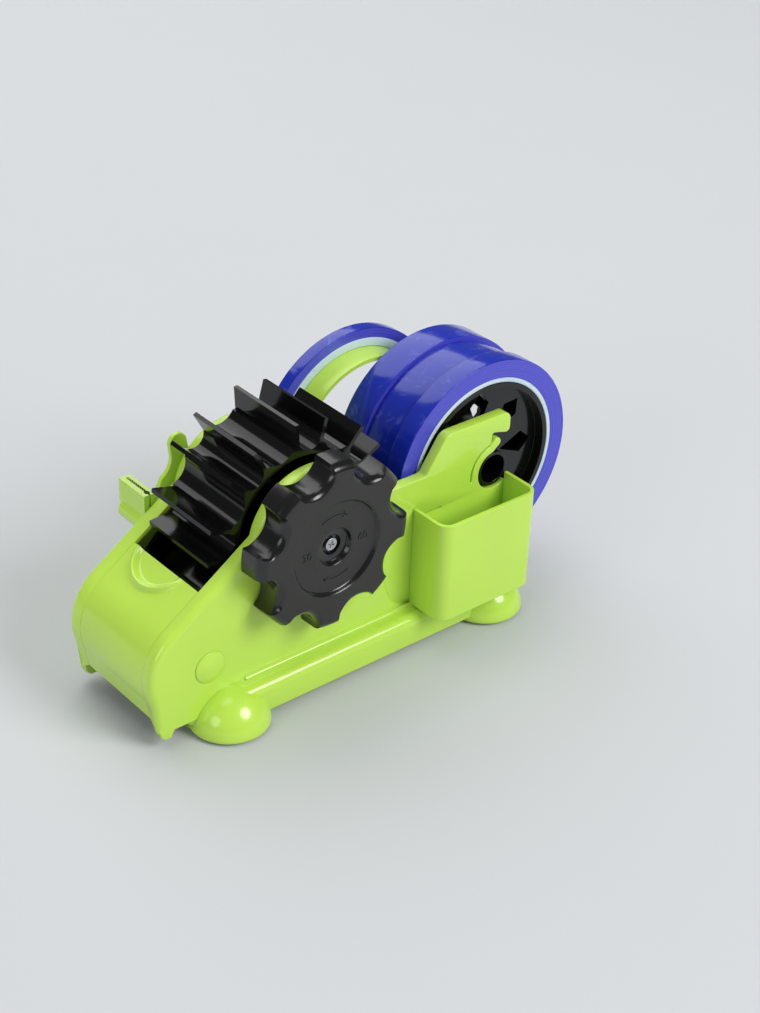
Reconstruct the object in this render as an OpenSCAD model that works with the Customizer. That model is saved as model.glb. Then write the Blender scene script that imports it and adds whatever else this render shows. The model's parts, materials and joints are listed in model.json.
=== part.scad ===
// Knob-turned tape dispenser: a finned drum, a cutter rotor in mesh with it, a lift-out spool with
// three rolls, a side roll with its own small cutter, and a pull-off pen box.
// Millimetres, +Z up. X runs from the nose (-X) to the rear (+X); the knob is on the -Y side.
// The origin is the bottom centre of the whole object's bounding box.

/* [Overall] */
// Height of the drum axis above the table
axis_h = 75; // [70:0.5:90]
// Half width of the side shells' outer faces
shell_y = 30; // [28:0.5:36]
// Distance from the middle to the slot's far edge
slot_y = 21.3; // [20:0.1:26]
// Distance from the middle to the slot's edge on the knob side
slot_near = 23.6; // [20:0.1:26]
// Wall thickness of the green mouldings
wall = 2; // [1.6:0.1:3]
// Angle of the sloping top, in degrees
slope_a = 34.5; // [30:0.5:40]
// Height of the level top edge behind the drum, above the drum axis
low_top = 4.5; // [2:0.5:10]
// X of the rear edge of the side shells
shell_rear = 112; // [108:0.5:130]
// X where the drum slot starts in the sloping top
slot_front = -53.4; // [-56:0.1:-48]

/* [Drum] */
// Radius at the tips of the fins
tip_r = 46.5; // [40:0.5:52]
// Half length of the fins
fin_y = 20.5; // [18:0.1:24]
// Thickness of one fin
fin_t = 1.8; // [1.2:0.1:3]
// Number of fin pairs
pairs = 8; // [6:1:10]
// Half angle between the two fins of a pair, in degrees
pair_a = 9.25; // [7:0.25:12]
// Radius at the bottom of the channels between fins
channel_r = 33.2; // [28:0.1:38]
// Angle at which one pair of fins faces the cutter, in degrees
mesh_a = 219.4; // [210:0.1:230]
// Radius of the round cheeks beside the drum
cheek_r = 29.5; // [26:0.5:32]
// Radius of the drum shaft
shaft_r = 4; // [3:0.5:6]

/* [Knob] */
// Radius at the tips of the knob's lobes
knob_r = 38.5; // [30:0.5:42]
// Thickness of the knob
knob_t = 13.5; // [9:0.5:18]
// Number of lobes on the knob
lobes = 8; // [6:1:12]
// Radius of the scallops between lobes
scallop_r = 8; // [6:0.5:12]
// Depth of the scallops
scallop_d = 7; // [3:0.1:9]
// Radius of the shallow recess in the knob's face
face_r = 21.3; // [16:0.1:24]

/* [Cutter rotor] */
// Distance from the drum axis to the rotor axis
rotor_c = 68.2; // [66:0.1:72]
// Radius at the blades' cutting edges
blade_r = 23.6; // [20:0.1:26]
// Number of blades on the rotor
blades = 4; // [2:1:4]
// Width of the ribs that turn with the drum's wide channels
pusher_w = 11; // [6:0.5:13]
// Radius of the rotor shaft
rotor_shaft_r = 3; // [2:0.5:4]

/* [Spool] */
// X of the spool axis
spool_x = 99.6; // [95:0.1:115]
// Height of the spool axis relative to the drum axis
spool_z = -5.7; // [-12:0.1:4]
// Radius of the axle tube
axle_r = 8.2; // [6:0.1:10]
// Inner radius of the rolls' cores
core_in = 38.1; // [25:0.1:40]
// Wall thickness of the cores
core_t = 2.1; // [1.5:0.1:6]
// Outer radius of the full rolls
roll_r = 48.6; // [45:0.1:52]
// Outer radius of the middle, part-used roll
mid_roll_r = 46.6; // [43:0.1:50]
// Widths of the three rolls, from the knob side
roll_w = [10, 18, 15];
// Number of holes in each spool wheel
kites = 8; // [5:1:10]

/* [Side roll and side cutter] */
// X of the side roll's axis
side_x = 70.8; // [66:0.1:80]
// Height of the side roll's axis relative to the drum axis
side_z = -2.6; // [-6:0.1:6]
// Y of the side roll's near face
side_y = 34; // [33:0.5:40]
// Width of the side roll
side_w = 6.5; // [6:0.5:18]
// Wall thickness of the side roll's core
side_core_t = 4; // [1.5:0.1:6]
// Outer radius of the side roll
side_r = 46.8; // [44:0.1:52]
// X of the side cutter's blade
cutter_x = -39.5; // [-46:0.1:-34]
// Height of the side cutter's top relative to the drum axis
cutter_z = 3; // [-4:0.1:10]
// Width of the side cutter
cutter_w = 19; // [14:0.5:24]

/* [Pen box] */
// Length of the pen box
box_l = 54; // [40:0.5:60]
// Depth of the pen box out from the side
box_d = 20.7; // [15:0.1:30]
// Height of the pen box
box_h = 47.5; // [30:0.5:60]
// X of the pen box's front end
box_x = 53.5; // [50:0.5:60]
// Height of the pen box's rim relative to the drum axis
box_top = -8.9; // [-15:0.1:0]

/* [Base and feet] */
// Half width of the base tray
base_y = 38; // [36:0.5:46]
// Height of the ledge below the drum axis
ledge_d = 57; // [55:0.5:62]
// Radius of the domed feet
foot_r = 17.5; // [14:0.5:20]
// X of the front feet
foot_front = -43.5; // [-50:0.5:-36]
// X of the rear feet
foot_rear = 97; // [90:0.5:105]

/* [Hidden] */
$fn = 48;
eps = 0.01;
// clearances: between fixed pieces, running radial, between a moving and a fixed piece
fit = 0.1;
run = 0.06;
gap = 0.6;
// between faces that rest on each other, and between the film and its core
touch = 0.05;
wrap = 0.02;
// plate that carries the spool
plate_t = 5.2;
plate_in = shell_y - 1.6 - plate_t;
plate_out = shell_y - 1.6;
plate_x = 38;
// the front wall ends in a step that sweeps back at the ledge
step_r = 18;
skin_lap = 2;
step_x = plate_x + skin_lap + step_r;
// drum
pitch = 360 / pairs;
wide_a = pitch / 2 - pair_a;
hub_r = 9;
web_t = 3;
skin_in = channel_r - fin_t;
// U-shaped channel floors: circle tangent to both fins, its bottom at channel_r
narrow_c = (channel_r - fin_t / 2) / (1 - sin(pair_a));
narrow_u = narrow_c - channel_r;
wide_c = (channel_r - fin_t / 2) / (1 - sin(wide_a));
wide_u = wide_c - channel_r;
// rotor
rotor_x = rotor_c * cos(mesh_a);
rotor_z = rotor_c * sin(mesh_a);
rotor_hub = 8;
blade_t = 0.6;
holder_t = 5;
// nose rounding: tangent to the slope and to the upright front
nose_r = 26.5;
slope_x = -45;
slope_z = -4.5;
nose_x = rotor_x - 1.9;
line_n = -sin(slope_a) * slope_x + cos(slope_a) * slope_z;
nose_z = (line_n - nose_r + sin(slope_a) * nose_x) / cos(slope_a);
nose_end = 200;
nose_foot = -66.5;
nose_foot_x = nose_x - nose_r * 0.87;
// ledge and base
ledge_z = -ledge_d;
floor_lift = 3.6;
floor_z = floor_lift - axis_h;
dome_lift = 1;
dome_z = dome_lift - axis_h;
base_front = -62;
base_rear = shell_rear + 2;
floor_y = shell_y - 0.4;
well_y = shell_y - 3.2;
// inner chassis
cheek_wall = 1.5;
chassis_in = slot_near + cheek_wall + fit;
chassis_t = 1.5;
chassis_out = chassis_in + chassis_t;
chassis_floor = 1.2;
chassis_lap = 4;
plate_lap = 10;
chassis_rear = plate_x - plate_lap - gap;
// bushes, caps and clips
drum_bush_r = 7;
bush_flange = 1.2;
rotor_bush_r = 5;
boss_bore = 4.2;
boss_cap_r = 7.2;
neck_r = 10.4;
neck_hole_r = 11;
shaft_cap_r = 13;
clip_r = 6.4;
pin_r = 1.5;
// screws: shank and head radii
shank_r = 1.2;
head_r = 2.8;
head_t = 1.4;
screw_x = [foot_front + 22, foot_rear - 24];
screw_y = chassis_in - 5;
// spool
hub_half = (roll_w[0] + roll_w[1] + roll_w[2]) / 2;
hub_out = core_in - fit;
hub_in = hub_out - 2.4;
sleeve_r = 11;
wheel_t = 2.4;
kite_w = 10.4;
wheel_y = hub_half - 5;
axle_y = plate_out - 0.9;
axle_bore = 6.6;
seat_r = 9.2;
slit_r = 13.8;
slit_w = 0.9;
slot_a = 25;
lip_r = 5;
// the cross member fits between the ledge and the full rolls
tie_w = 5;
tie_h = spool_z - roll_r - gap - ledge_z;
// hook plate: key heights over the drum axis
hook_top = spool_z + 26.6;
beak_x = spool_x + 7;
// pen box
box_back = plate_out + 0.1;
box_wall = 1.8;
corner_r = 6;
peg_r = 2.5;
peg_l = 3.6;
// side ring
ring_out = core_in - run;
ring_in = ring_out - wall;
lug_r = 4;
lug_c = ring_in - head_r - 0.4;
lug_angles = [-135, -90, -45];
// overall extents, for the origin
x_min = nose_x - nose_r;
x_max = spool_x + roll_r;
y_min = -(plate_out + 0.1 + box_d);
y_max = max(side_y + side_w + 1, cutter_w + shell_y);
off_x = -(x_min + x_max) / 2;
off_y = -(y_min + y_max) / 2;

green = [0.72, 0.88, 0.28];
black = [0.05, 0.05, 0.06];
char = [0.18, 0.18, 0.18];
blue = [0.12, 0.2, 0.75];
white = [0.86, 0.9, 0.93];
steel = [0.7, 0.71, 0.73];
rubber = [0.12, 0.12, 0.12];

// ---------- helpers ----------
module placed() {
  translate([off_x, off_y, axis_h]) children();
}
// extrude an X-Z outline from y0 to y1
module slab(y0, y1) {
  translate([0, y1, 0]) rotate([90, 0, 0]) linear_extrude(y1 - y0) children();
}
// cylinder along Y at x, z
module ycyl(x, z, r, y0, y1, facets = 48) {
  translate([x, y1, z]) rotate([90, 0, 0]) cylinder(h = y1 - y0, r = r, $fn = facets);
}
module ytube(x, z, r, ri, y0, y1) {
  difference() {
    ycyl(x, z, r, y0, y1);
    ycyl(x, z, ri, y0 - eps, y1 + eps);
  }
}
module both_sides() {
  children();
  mirror([0, 1, 0]) children();
}
function arc(cx, cz, r, a0, a1, n) =
  [for (i = [0:n]) let (a = a0 + (a1 - a0) * i / n) [cx + r * cos(a), cz + r * sin(a)]];
function slope_at(x) = slope_z + (x - slope_x) * tan(slope_a);

// ---------- side shells ----------
// outline of the nose, slope and cheek, moved inwards by d
function front_path(d) = concat(
  [[nose_foot_x + d, nose_foot]],
  arc(nose_x, nose_z, nose_r - d, nose_end, slope_a + 90, 16),
  arc(0, 0, cheek_r - d, slope_a + 90 + acos((line_n - d) / (cheek_r - d)), asin(low_top / cheek_r), 24));
module front_outline(d) {
  difference() {
    polygon(concat(front_path(d),
      [[plate_x + skin_lap - d, low_top - d]],
      arc(step_x - d, ledge_z + step_r, step_r, 180, 270, 8),
      [[foot_front, ledge_z], [foot_front, nose_foot]]));
    // the wall meets the front dome in an arc
    translate([foot_front, dome_z]) circle(r = foot_r + fit);
  }
}
module hook_outline() {
  difference() {
    polygon(concat(
      [[plate_x - plate_lap, ledge_z], [plate_x - plate_lap, low_top], [plate_x + 21, low_top]],
      [[plate_x + 24, low_top + 1.2]],
      arc(spool_x - 25.5, hook_top - 6, 6, 135, 90, 5),
      [[beak_x - 3, hook_top]],
      arc(beak_x - 3.2, hook_top - 4, 4, 85, 0, 5),
      arc(beak_x - 1.4, hook_top - 7.6, 2.2, 0, -90, 4),
      [[spool_x + 1, spool_z + 18.4], [spool_x - 3, spool_z + 17.4]],
      [[spool_x, spool_z], [spool_x + seat_r * 0.7, spool_z - seat_r * 0.5]],
      arc(shell_rear - lip_r, spool_z - seat_r - lip_r, lip_r, 90, 0, 6),
      [[shell_rear, ledge_z]]));
    // seat and the way out to the rear
    translate([spool_x, spool_z]) circle(r = seat_r);
    translate([spool_x, spool_z]) rotate(slot_a) translate([0, -axle_r - 0.3])
      square([40, 2 * (axle_r + 0.3)]);
  }
}
module finger_outline() {
  // curved snap finger that wraps the front of the axle
  polygon(concat(
    arc(spool_x, spool_z, seat_r + 0.3, 200, 104, 16),
    arc(spool_x + 0.6, spool_z + seat_r + 4.2, 2.2, -80, 130, 8),
    arc(spool_x, spool_z, slit_r - slit_w, 100, 200, 16)));
}
module slit_outline() {
  polygon(concat(
    arc(spool_x, spool_z, slit_r, 185, 90, 16),
    [[spool_x, spool_z + slit_r + 3.6], [spool_x + 14, spool_z + slit_r + 3.6]],
    [[spool_x + 14, spool_z], [spool_x, spool_z]],
    arc(spool_x, spool_z, slit_r - slit_w, 100, 185, 16)));
}
// one shell; f is how far the slot's edge stands from the middle
module side_shell(f) {
  difference() {
    union() {
      // outer skin of nose, slope and cheek
      slab(shell_y - wall, shell_y) front_outline(0);
      // top flange that turns in towards the drum slot
      difference() {
        slab(f, shell_y - wall + eps) front_outline(0);
        slab(f - eps, shell_y - wall + 2 * eps) front_outline(wall);
        translate([nose_foot_x + wall, f - 1, ledge_z - 12]) cube([110, 12, 12 + wall]);
        translate([plate_x - 6, slot_y - 1, ledge_z]) cube([20, plate_in - slot_y + 1, 80]);
      }
      // inner face of the cheek
      difference() {
        ycyl(0, 0, cheek_r - eps, f, f + cheek_wall);
        translate([-50, f - 1, -60]) cube([100, 4, 60 - cheek_r * 0.3]);
      }
      // hook plate
      slab(plate_in, plate_out) difference() {
        hook_outline();
        slit_outline();
      }
      slab(plate_in, plate_out) finger_outline();
      // small hook under the front edge
      translate([nose_foot_x + 0.3, shell_y - wall - 4.4, nose_foot - 4]) difference() {
        cube([5, 4.4 + eps, 10]);
        translate([2.6, -1, -1]) cube([4, 7, 2.4]);
      }
    }
    // holes: drum neck and bush, rotor shaft
    ycyl(0, 0, neck_hole_r, f - 1, shell_y + 1);
    ycyl(rotor_x, rotor_z, boss_bore, shell_y - wall - 3, shell_y + 1);
  }
}
module side_shell_near() {
  color(green) placed() mirror([0, 1, 0]) difference() {
    side_shell(slot_near);
    // short slot in the plate and the two holes for the pen box's pegs
    translate([box_x + 7.2, plate_out - 2, box_top - 5.5]) cube([9, 3, 0.9]);
    for (px = [box_x + 10, box_x + box_l - 12])
      ycyl(px, box_top - 26, peg_r + fit, plate_out - peg_l - 0.4, plate_out + 1);
  }
}
module side_shell_far() {
  color(green) placed() difference() {
    side_shell(slot_y);
    for (a = lug_angles)
      ycyl(side_x + lug_c * cos(a), side_z + lug_c * sin(a), 1.3, plate_in - 1, plate_out + 1);
  }
}
// ---------- nose cover ----------
module nose_cover() {
  cover_near = fit - slot_near;
  cover_far = slot_y - fit;
  drop = 0.7;
  scoop_r = 16.5;
  scoop_y = 2.5;
  color(green) placed() difference() {
    union() {
      difference() {
        slab(cover_near, cover_far) front_outline(drop);
        slab(cover_near - 1, cover_far + 1) front_outline(drop + wall);
        translate([slot_front, -30, -60]) cube([200, 60, 120]);
        translate([nose_foot_x + 6, -30, nose_foot - 1]) cube([100, 60, 14]);
      }
      // raised half ring and the thumb dish behind the slot's front edge
      intersection() {
        translate([slot_front, scoop_y, slope_at(slot_front) - drop]) rotate([0, -slope_a, 0])
          translate([3.2, 0, -2.2]) union() {
            difference() {
              cylinder(h = 3.6, r = scoop_r);
              translate([0, 0, 1.2]) cylinder(h = 4, r = scoop_r - 3);
            }
          }
        translate([slot_front - 40, cover_near, -60]) cube([40, cover_far - cover_near, 100]);
      }
    }
    translate([slot_front, scoop_y, slope_at(slot_front) - drop]) rotate([0, -slope_a, 0])
      translate([3.2, 0, -1]) cylinder(h = 8, r = scoop_r - 3);
  }
}
// ---------- base ----------
module curb_section() {
  // hollow rounded curb: ledge on top, rail outside
  difference() {
    union() {
      translate([well_y, ledge_z - wall]) square([base_y - shell_y - 1, wall]);
      translate([base_y - 4.2 - 3, ledge_z - 4.2 - 0.6]) difference() {
        translate([3, 0]) circle(r = 4.2);
        translate([-6, -9]) square([20, 9]);
      }
      translate([base_y - 6, floor_z]) square([6, ledge_z - 4.8 - floor_z]);
      translate([well_y, ledge_z - 4.8]) square([base_y - shell_y - 1, 2.9]);
    }
    translate([shell_y - 4, floor_z + wall])
      square([base_y - shell_y + 2, ledge_z - floor_z - 2 * wall - 1.2]);
  }
}
module base_tray() {
  len = base_rear - base_front;
  color(green) placed() difference() {
    union() {
      both_sides() translate([foot_front, 0, 0]) rotate([90, 0, 90])
        linear_extrude(foot_rear - foot_front) curb_section();
      translate([foot_front, -base_y + 2, floor_z]) cube([foot_rear - foot_front, 2 * base_y - 4, wall]);
      translate([base_front, -floor_y, floor_z]) cube([len, 2 * floor_y, wall]);
      // front and rear walls, and the ledge's rear ends
      translate([base_front, -floor_y, floor_z]) cube([wall, 2 * floor_y, nose_foot - floor_z - fit]);
      translate([base_rear - wall, -floor_y, floor_z]) cube([wall, 2 * floor_y, ledge_z - floor_z]);
      both_sides() translate([foot_rear - 1, plate_in + 3, ledge_z - wall])
        cube([base_rear - foot_rear + 1, floor_y - plate_in - 3, wall]);
      both_sides() translate([foot_rear - 1, floor_y - wall, floor_z])
        cube([base_rear - foot_rear + 1, wall, ledge_z - floor_z]);
      both_sides() translate([base_front, floor_y - wall, floor_z])
        cube([foot_front - base_front + 1, wall, nose_foot - floor_z - fit]);
      for (fx = [foot_front, foot_rear], s = [-1, 1])
        translate([fx, s * shell_y, dome_z]) difference() {
          sphere(r = foot_r);
          translate([-30, -30, -40]) cube([60, 60, 40]);
        }
    }
    for (fx = [foot_front, foot_rear], s = [-1, 1]) translate([fx, s * shell_y, 0]) {
      translate([0, 0, dome_z]) intersection() {
        sphere(r = foot_r - wall);
        translate([-20, -20, -1]) cube([40, 40, 13]);
      }
      translate([0, 0, -axis_h - 1]) cylinder(h = 14, r = foot_r - wall - 5);
    }
    floor_holes();
    // keep the domes out of the side shells and the well
    both_sides() translate([base_front - 20, 0, ledge_z]) cube([len + 40, shell_y + fit, 20]);
    translate([base_front + wall, -well_y, floor_z + wall]) cube([len - 2 * wall, 2 * well_y, 40]);
    translate([base_front - 30, -shell_y - fit, nose_foot - fit])
      cube([30 + eps, 2 * shell_y + 2 * fit, 60]);
  }
}
module foot_cups() {
  color(rubber) placed() for (fx = [foot_front, foot_rear], s = [-1, 1])
    translate([fx, s * shell_y, -axis_h]) rotate_extrude()
      polygon([[0, 0], [foot_r - 3.2, 0], [foot_r - 3.2, 0.6], [foot_r - 6, 3], [3, 5], [3, 10], [0, 10]]);
}
module floor_holes() {
  // clearance holes for the base screws
  for (px = screw_x, s = [-1, 1]) translate([px, s * screw_y, floor_z - 1])
    cylinder(h = 2 * wall + 2, r = shank_r + fit);
}
module base_screws() {
  color(steel) placed() for (px = screw_x, s = [-1, 1])
    translate([px, s * screw_y, floor_z - head_t]) {
      cylinder(h = head_t, r = head_r);
      cylinder(h = head_t + wall, r = shank_r);
    }
}
module rear_tie() {
  // cross member that holds the two shells apart behind the spool
  color(green) placed() slab(-plate_in + fit, plate_in - fit)
    translate([shell_rear - tie_w, ledge_z]) square([tie_w, tie_h]);
}
// ---------- inner chassis ----------
module chassis_outline() {
  difference() {
    union() {
      polygon(concat(
        arc(rotor_x, rotor_z, 11, 250, 90 + slope_a, 12),
        arc(0, 0, line_n - wall - gap, 90 + slope_a, -10, 20),
        [[chassis_rear, floor_z + wall + fit], [rotor_x - chassis_lap, floor_z + wall + fit]]));
    }
    circle(r = drum_bush_r + fit);
    translate([rotor_x, rotor_z]) circle(r = rotor_bush_r + fit);
  }
}
module chassis() {
  color(black) placed() difference() {
    union() {
      both_sides() slab(chassis_in, chassis_out) chassis_outline();
      translate([rotor_x - chassis_lap, -chassis_out, floor_z + wall + fit])
        cube([chassis_rear + chassis_lap - rotor_x, 2 * chassis_out, chassis_floor]);
    }
    floor_holes();
  }
}
module drum_bushes() {
  color(white) placed() both_sides() difference() {
    union() {
      ycyl(0, 0, drum_bush_r, slot_y + cheek_wall, chassis_out + bush_flange);
      ycyl(0, 0, drum_bush_r + 2.5, chassis_out + fit, chassis_out + bush_flange);
    }
    ycyl(0, 0, shaft_r + run, 0, 40);
  }
}
module rotor_bushes() {
  color(white) placed() both_sides() difference() {
    ycyl(rotor_x, rotor_z, rotor_bush_r, chassis_in - 0.8, chassis_out + bush_flange);
    ycyl(rotor_x, rotor_z, rotor_shaft_r + run, 0, 40);
  }
}
module boss_cap(s) {
  color(green) placed() mirror([0, s, 0]) {
    ycyl(rotor_x, rotor_z, boss_cap_r, shell_y + fit / 2, shell_y + 1.2);
    ycyl(rotor_x, rotor_z, boss_cap_r - 0.8, shell_y + 1.2 - eps, shell_y + 1.8);
    ycyl(rotor_x, rotor_z, boss_bore - fit, shell_y - wall, shell_y + fit);
  }
}
module shaft_cap() {
  // round cap that closes the far shell over the end of the drum shaft
  color(green) placed() {
    ycyl(0, 0, shaft_cap_r, shell_y + fit / 2, shell_y + 1.4);
    ycyl(0, 0, neck_hole_r - fit, shell_y - wall + 0.3, shell_y + fit);
  }
}
module boss_cap_near() { boss_cap(1); }
module boss_cap_far() { boss_cap(0); }

// ---------- drum ----------
module drum_outline() {
  difference() {
    union() {
      circle(r = channel_r + 3, $fn = 96);
      for (i = [0:pairs - 1], s = [-1, 1]) rotate(mesh_a + i * pitch + s * pair_a)
        translate([skin_in, -fin_t / 2]) square([tip_r - skin_in, fin_t]);
    }
    for (i = [0:pairs - 1]) rotate(mesh_a + i * pitch) {
      translate([narrow_c, 0]) circle(r = narrow_u);
      rotate(pitch / 2) translate([wide_c, 0]) circle(r = wide_u);
    }
    circle(r = skin_in, $fn = 96);
  }
}
module drum_wheel() {
  color(black) placed() difference() {
    union() {
      slab(-fin_y, fin_y) drum_outline();
      ycyl(0, 0, skin_in + 0.4, -web_t / 2, web_t / 2);
      ycyl(0, 0, hub_r, -fin_y, fin_y);
      for (a = [0:60:300]) rotate([0, -a, 0])
        translate([hub_r - 1, -fin_y + 5, -1.2]) cube([skin_in - hub_r + 1.4, 2 * fin_y - 10, 2.4]);
    }
    ycyl(0, 0, shaft_r + fit, -40, 40);
    translate([0, 0, -15]) cylinder(h = 30, r = pin_r + fit);
  }
}
module drum_pin() {
  color(steel) placed() translate([0, 0, -hub_r]) cylinder(h = 2 * hub_r, r = pin_r);
}
module drum_shaft() {
  color(steel) placed() difference() {
    ycyl(0, 0, shaft_r, -shell_y - 5, shell_y - wall - 0.5);
    translate([0, 0, -15]) cylinder(h = 30, r = pin_r + eps);
    // flat for the knob, and the thread hole for its screw
    translate([-10, -shell_y - 6, shaft_r - 1]) cube([20, 6 + wall + fit, 5]);
    ycyl(0, 0, 1.25, -shell_y - 6, -shell_y + 6);
  }
}
module knob_outline() {
  difference() {
    circle(r = knob_r, $fn = 96);
    for (i = [0:lobes - 1]) rotate(-4.5 + (i + 0.5) * 360 / lobes)
      translate([knob_r - scallop_d + scallop_r, 0]) circle(r = scallop_r);
  }
}
module knob() {
  face_y = -shell_y - 0.8 - knob_t;
  color(char) placed() difference() {
    union() {
      slab(face_y, -shell_y - 0.8) knob_outline();
      // neck that reaches through the shell
      ycyl(0, 0, neck_r, -shell_y - 0.8 - eps, -shell_y + wall);
    }
    // hollow back
    ytube(0, 0, knob_r - scallop_d - 3, 12, -shell_y - 0.8 - knob_t + 3.4, -shell_y);
    // recess, stepped screw well and shaft hole
    ycyl(0, 0, face_r, face_y - 1, face_y + 0.8);
    ycyl(0, 0, 8.5, face_y - 1, face_y + 2.6);
    ycyl(0, 0, 6, face_y - 1, face_y + 6);
    difference() {
      ycyl(0, 0, shaft_r + fit, face_y + 8, 0);
      translate([-10, face_y, shaft_r - 1 + fit]) cube([20, -shell_y + 2 - face_y, 5]);
    }
    ycyl(0, 0, 1.6, face_y, 0);
  }
}
module knob_screw() {
  face_y = -shell_y - 0.8 - knob_t;
  color(steel) placed() difference() {
    union() {
      ycyl(0, 0, 2.8, face_y + 4.2, face_y + 5.9);
      ycyl(0, 0, 1.2, face_y + 5.8, face_y + 17);
    }
    for (a = [0, 90]) rotate([0, a + 20, 0]) translate([-1.6, face_y + 4, -0.3]) cube([3.2, 0.9, 0.6]);
  }
}
module shaft_clip() {
  color(steel) placed() ytube(0, 0, clip_r, shaft_r + fit, slot_y - 0.3, slot_y + 0.7);
}
// ---------- cutter rotor ----------
module at_blade(i) {
  translate([rotor_x, 0, rotor_z]) rotate([0, 180 - mesh_a - i * 360 / blades, 0]) children();
}
module rotor_body() {
  color(black) placed() difference() {
    union() {
      ycyl(rotor_x, rotor_z, rotor_hub, -fin_y, fin_y);
      for (i = [0:blades - 1]) at_blade(i) {
        translate([0, -fin_y, -holder_t / 2]) cube([blade_r - 5, 2 * fin_y, holder_t]);
        rotate([0, -180 / blades, 0]) slab(-fin_y + 2, fin_y - 2)
          polygon([[0, -pusher_w / 2], [blade_r - 4, -pusher_w / 2], [blade_r, -pusher_w / 4],
            [blade_r, pusher_w / 4], [blade_r - 4, pusher_w / 2], [0, pusher_w / 2]]);
      }
    }
    ycyl(rotor_x, rotor_z, rotor_shaft_r + fit, -40, 40);
    for (i = [0:blades - 1]) at_blade(i)
      translate([blade_r - 13, -fin_y - 1, -blade_t / 2 - fit]) cube([20, 2 * fin_y + 2, blade_t + 2 * fit]);
  }
}
module rotor_shaft() {
  color(steel) placed()
    ycyl(rotor_x, rotor_z, rotor_shaft_r, -chassis_out - bush_flange, chassis_out + bush_flange);
}
module cutter_blades() {
  tooth = 1.6;
  count = floor(2 * (fin_y - 0.4) / tooth);
  half = count * tooth / 2;
  color(steel) placed() for (i = [0:blades - 1]) at_blade(i)
      translate([blade_r, 0, -blade_t / 2]) linear_extrude(blade_t) polygon(concat(
        [[-12.6, -half], [-1.1, -half]],
        [for (k = [0:count - 1], p = [0, 1]) [p == 0 ? 0 : -1.1, -half + (k + (p + 1) / 2) * tooth]],
        [[-12.6, half]]));
}
// ---------- spool ----------
module spool_axle() {
  color(black) placed() ytube(spool_x, spool_z, axle_r, axle_bore, -axle_y, axle_y);
}
module kite() {
  wide_at = (sleeve_r + hub_in) / 2 + 3;
  polygon([[sleeve_r + 3, 0], [wide_at, kite_w / 2], [hub_in - 3.4, 0], [wide_at, -kite_w / 2]]);
}
module hub_half() {
  difference() {
    union() {
      ytube(spool_x, spool_z, hub_out, hub_in, touch, hub_half);
      ytube(spool_x, spool_z, sleeve_r, axle_r + run, touch, hub_half - 1);
      slab(wheel_y - wheel_t, wheel_y) translate([spool_x, spool_z]) difference() {
        circle(r = hub_in + 0.4);
        circle(r = sleeve_r - 0.4);
        for (i = [0:kites - 1]) rotate(i * 360 / kites) kite();
      }
    }
  }
}
module hub_near() { color(black) placed() mirror([0, 1, 0]) hub_half(); }
module hub_far() { color(black) placed() hub_half(); }
function roll_y(i) = -hub_half + (i > 0 ? roll_w[0] : 0) + (i > 1 ? roll_w[1] : 0);
module core(i) {
  color(white) placed()
    ytube(spool_x, spool_z, core_in + core_t, core_in, roll_y(i) + touch, roll_y(i) + roll_w[i] - touch);
}
module tape(i, r) {
  color(blue) placed()
    ytube(spool_x, spool_z, r, core_in + core_t + wrap, roll_y(i) + 0.15, roll_y(i) + roll_w[i] - 0.15);
}
module core_near() { core(0); }
module core_mid() { core(1); }
module core_far() { core(2); }
module tape_near() { tape(0, roll_r); }
module tape_mid() { tape(1, mid_roll_r); }
module tape_far() { tape(2, roll_r - 0.3); }
// ---------- side roll ----------
// keeps the ring clear of the front wall, and of the hook plate except above the plate's top edge
module ring_space() {
  reach = ring_out + 5;
  wall_end = plate_x + skin_lap + gap;
  difference() {
    translate([side_x - reach, plate_in - 1, side_z - reach])
      cube([2 * reach, plate_out + touch - plate_in + 1, 2 * reach]);
    translate([side_x - reach, plate_in, low_top + gap])
      cube([reach + ring_out * 0.71, plate_t + 1, reach]);
  }
  translate([side_x - reach, plate_in - 1, side_z - reach])
    cube([wall_end - side_x + reach, shell_y + touch - plate_in + 1, low_top + gap - side_z + reach]);
}
module side_ring() {
  color(green) placed() difference() {
    union() {
      ytube(side_x, side_z, ring_out, ring_in, plate_in, side_y + side_w + 1);
      for (a = lug_angles)
        ycyl(side_x + lug_c * cos(a), side_z + lug_c * sin(a), lug_r, plate_out + touch, side_y);
    }
    ring_space();
    for (a = lug_angles) ycyl(side_x + lug_c * cos(a), side_z + lug_c * sin(a), 1.6, plate_out - 1, 60);
  }
}
module ring_screws() {
  color(steel) placed() for (a = lug_angles) {
    ycyl(side_x + lug_c * cos(a), side_z + lug_c * sin(a), head_r, side_y + fit / 2, side_y + 1.8);
    ycyl(side_x + lug_c * cos(a), side_z + lug_c * sin(a), 1.25, plate_in + 0.6, side_y + 1);
  }
}
module side_core() {
  color(white) placed() ytube(side_x, side_z, core_in + side_core_t, core_in, side_y, side_y + side_w);
}
module side_tape() {
  color(blue) placed()
    ytube(side_x, side_z, side_r, core_in + side_core_t + wrap, side_y + 0.1, side_y + side_w - 0.1);
}
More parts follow.
